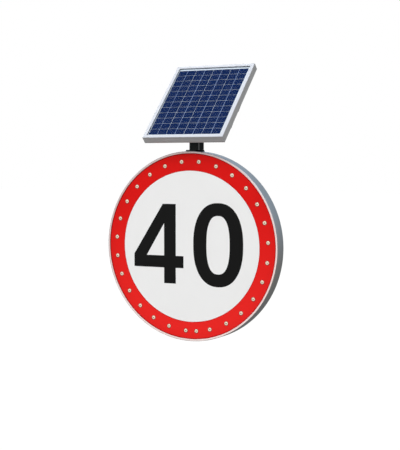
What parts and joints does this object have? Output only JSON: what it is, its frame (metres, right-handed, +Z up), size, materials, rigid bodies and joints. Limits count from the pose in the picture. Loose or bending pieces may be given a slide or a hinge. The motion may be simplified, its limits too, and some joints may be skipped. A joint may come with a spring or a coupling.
{
  "type": "speed limit sign",
  "caption": "Round lit speed limit sign: red ring with small lamps round two plain digits, its own solar panel on a short post above, and pole clamps behind.",
  "frame": {"origin": "centre of the lower pole clamp, on the pole's axis", "axes": "+Z up along the pole, +X to the right as a driver sees the sign, and the face looks along -Y"},
  "size_m": [0.6, 0.2581, 0.8835],
  "materials": {
    "rim_aluminium": "satin, lightly drawn along the rim",
    "sheet_aluminium": "mill finish",
    "white_film": "smooth reflective film",
    "red_film": "smooth reflective film",
    "black_film": "smooth film",
    "circuit_board": "lacquered board",
    "lamp_body": "clear and cream moulding",
    "seal_foam": "closed-cell foam",
    "battery_wrap": "shrink wrap",
    "plated_steel": "zinc plated",
    "case_plastic": "moulded, fine texture",
    "grommet_rubber": "moulded rubber",
    "rail_aluminium": "mill finish, folded",
    "clamp_aluminium": "extruded, satin",
    "frame_aluminium": "satin anodised",
    "panel_glass": "tempered, low iron",
    "solar_cell": "polycrystalline, coated",
    "cell_ribbon": "tinned",
    "backsheet_film": "white film",
    "black_paint": "powder coated, semi-gloss"
  },
  "bodies": {
    "root": {"back_cover": "sheet_aluminium", "backsheet": "backsheet_film", "battery_pack": "battery_wrap", "battery_strap": "plated_steel", "cable_gland": "case_plastic", "cell_ribbons": "cell_ribbon", "clamp_bolts": "plated_steel", "controller_box": "case_plastic", "corner_keys": "sheet_aluminium", "cover_seal": "seal_foam", "cross_bar_lower": "black_paint", "cross_bar_upper": "black_paint", "digit_four": "black_film", "digit_zero": "black_film", "duct_grommet": "grommet_rubber", "face_plate": "sheet_aluminium", "foot_bolts": "plated_steel", "foot_bracket": "black_paint", "frame_bottom": "frame_aluminium", "frame_left": "frame_aluminium", "frame_right": "frame_aluminium", "frame_top": "frame_aluminium", "head_plate": "black_paint", "hex_nuts": "plated_steel", "hoop_joint_plate": "sheet_aluminium", "housing_ring": "rim_aluminium", "junction_box": "case_plastic", "junction_lid": "case_plastic", "led_board_1": "circuit_board", "led_board_2": "circuit_board", "led_board_3": "circuit_board", "led_board_4": "circuit_board", "led_lamps_1": "lamp_body", "led_lamps_2": "lamp_body", "led_lamps_3": "lamp_body", "led_lamps_4": "lamp_body", "lower_clamp_saddle": "clamp_aluminium", "lower_clamp_strap": "clamp_aluminium", "panel_glass": "panel_glass", "post": "black_paint", "post_grommet": "grommet_rubber", "rail_lower": "rail_aluminium", "rail_top": "rail_aluminium", "rail_upper": "rail_aluminium", "red_border": "red_film", "solar_cells": "solar_cell", "upper_clamp_saddle": "clamp_aluminium", "upper_clamp_strap": "clamp_aluminium", "white_sheeting": "white_film"}
  },
  "joints": []
}
